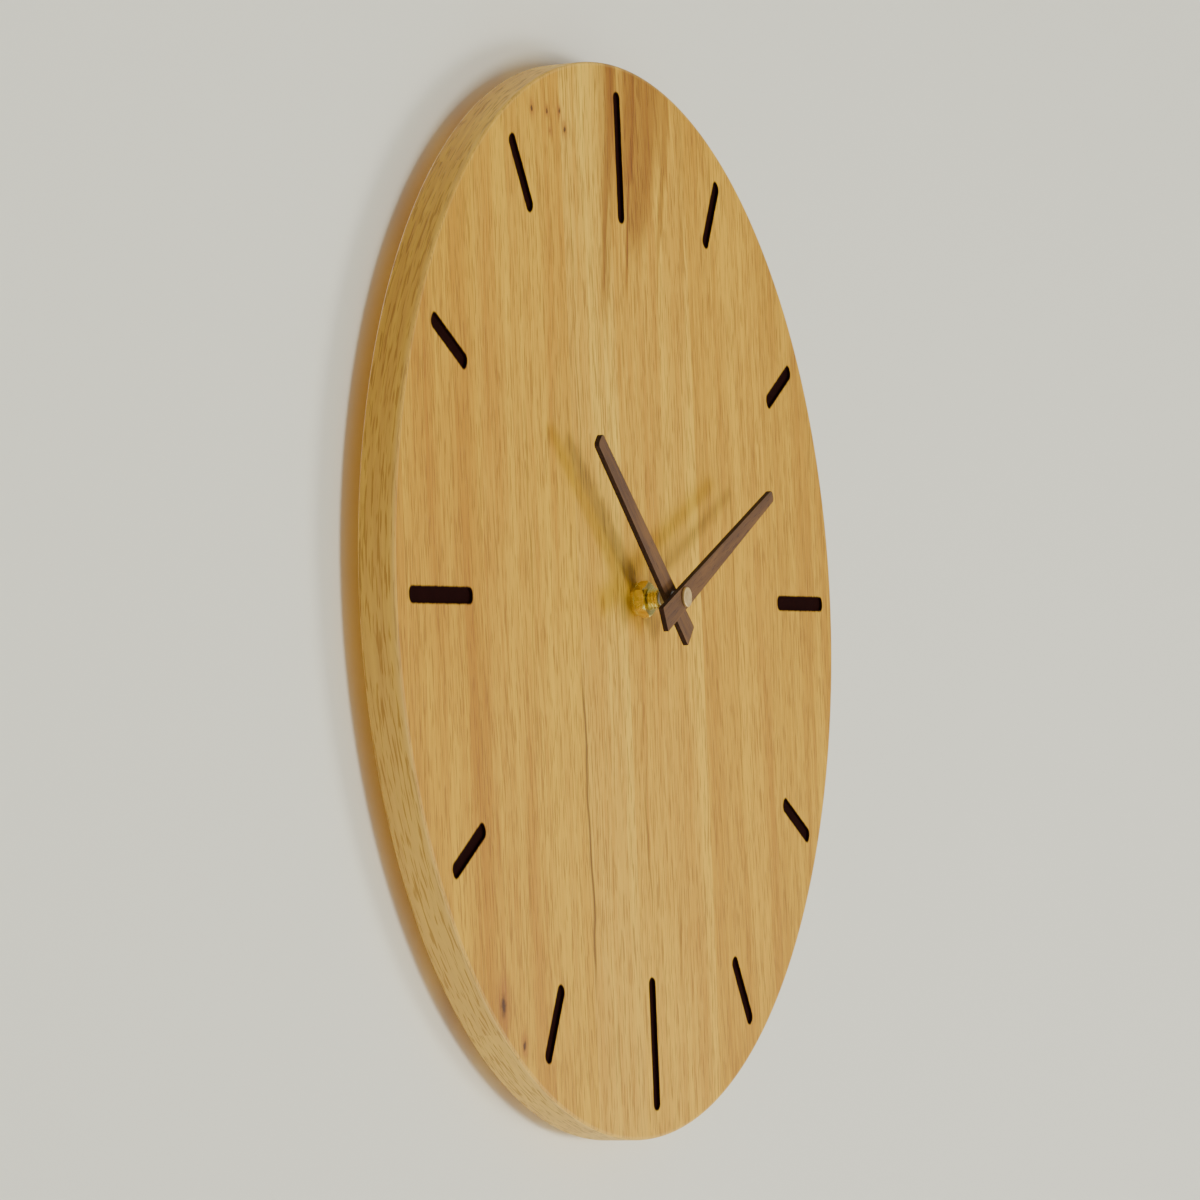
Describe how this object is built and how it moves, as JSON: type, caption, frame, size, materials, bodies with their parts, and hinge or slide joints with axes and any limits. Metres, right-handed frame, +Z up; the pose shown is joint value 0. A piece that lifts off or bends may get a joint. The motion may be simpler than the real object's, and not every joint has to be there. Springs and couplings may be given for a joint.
{
  "type": "wall clock",
  "caption": "Round wooden wall clock: flat oak dial with burnt hour grooves, two walnut hands on a brass stem, and a battery quartz movement let into the back.",
  "frame": {"origin": "on the hands' axis, in the plane of the wall, which the movement's flat back cover touches", "axes": "+Z up, +Y into the wall, so the dial faces -Y and +X is to the right seen from the front"},
  "size_m": [0.4, 0.0419, 0.4],
  "materials": {
    "oak": "oiled, satin",
    "walnut": "oiled, satin",
    "black_plastic": "moulded, fine texture",
    "white_plastic": "moulded, smooth",
    "rubber": "matt",
    "brass": "turned, lightly worn",
    "bush_metal": "pressed, satin",
    "steel": "zinc plated",
    "copper_wire": "enamelled copper wire",
    "circuit_board": "solder resist",
    "chip_resin": "resin blob",
    "battery_wrap": "printed film, no lettering"
  },
  "bodies": {
    "clock": {"stave_1": "oak", "stave_2": "oak", "stave_3": "oak", "stave_4": "oak", "stave_5": "oak", "stave_6": "oak", "case_front": "black_plastic", "case_back": "black_plastic", "middle_plate": "white_plastic", "coil_bobbin": "white_plastic", "case_gasket": "rubber", "wall_bumpers": "rubber", "center_stem": "brass", "stem_washer": "brass", "stem_nut": "brass", "stator": "steel", "coil_core": "steel", "keyhole_plate": "steel", "plate_screws": "steel", "contact_positive": "steel", "contact_negative": "steel", "quartz_crystal": "steel", "coil_winding": "copper_wire", "circuit_board": "circuit_board", "driver_chip": "chip_resin"},
    "minute": {"minute_arbor": "brass", "minute_hand": "walnut", "minute_hand_bush": "bush_metal", "minute_hand_nut": "brass"},
    "hour": {"hour_wheel": "white_plastic", "hour_hand_bush": "bush_metal", "hour_hand": "walnut"},
    "motion": {"motion_wheel": "white_plastic"},
    "knob": {"setting_knob": "black_plastic"},
    "center": {"center_wheel": "white_plastic"},
    "third": {"third_wheel": "white_plastic"},
    "fourth": {"fourth_wheel": "white_plastic"},
    "fifth": {"fifth_wheel": "white_plastic"},
    "rotor": {"rotor_magnet": "steel", "rotor_pinion": "white_plastic"},
    "battery": {"battery": "battery_wrap"}
  },
  "joints": [
    {"name": "minute_turn", "type": "hinge", "parent": "clock", "child": "minute", "pos_m": [0, 0, 0], "axis": [0, 1, 0], "continuous": true},
    {"name": "hour_turn", "type": "hinge", "parent": "clock", "child": "hour", "pos_m": [0, 0, 0], "axis": [0, 1, 0], "continuous": true},
    {"name": "motion_wheel_turn", "type": "hinge", "parent": "clock", "child": "motion", "pos_m": [-0.00679, 0, 0.00679], "axis": [0, 1, 0], "continuous": true},
    {"name": "setting_knob_turn", "type": "hinge", "parent": "clock", "child": "knob", "pos_m": [-0.0151, 0, 0.01159], "axis": [0, 1, 0], "continuous": true},
    {"name": "rotor_turn", "type": "hinge", "parent": "clock", "child": "rotor", "pos_m": [0.00572, 0, 0.01205], "axis": [0, 1, 0], "continuous": true},
    {"name": "fifth_wheel_turn", "type": "hinge", "parent": "clock", "child": "fifth", "pos_m": [0, 0, 0.00875], "axis": [0, 1, 0], "continuous": true},
    {"name": "fourth_wheel_turn", "type": "hinge", "parent": "clock", "child": "fourth", "pos_m": [0, 0, 0], "axis": [0, 1, 0], "continuous": true},
    {"name": "third_wheel_turn", "type": "hinge", "parent": "clock", "child": "third", "pos_m": [0.0102, 0, 0], "axis": [0, 1, 0], "continuous": true},
    {"name": "center_wheel_turn", "type": "hinge", "parent": "clock", "child": "center", "pos_m": [0, 0, 0], "axis": [0, 1, 0], "continuous": true},
    {"name": "battery_lift", "type": "slide", "parent": "clock", "child": "battery", "axis": [0, 1, 0], "range_m": [0, 0.02]}
  ],
  "couplings": [
    {"joint": "hour_turn", "follows": "minute_turn", "ratio": 0.083333},
    {"joint": "motion_wheel_turn", "follows": "minute_turn", "ratio": -0.33333},
    {"joint": "setting_knob_turn", "follows": "minute_turn", "ratio": 1},
    {"joint": "fifth_wheel_turn", "follows": "rotor_turn", "ratio": -0.2},
    {"joint": "fourth_wheel_turn", "follows": "rotor_turn", "ratio": 0.033333},
    {"joint": "third_wheel_turn", "follows": "rotor_turn", "ratio": -0.0041667},
    {"joint": "center_wheel_turn", "follows": "rotor_turn", "ratio": 0.00055556}
  ]
}
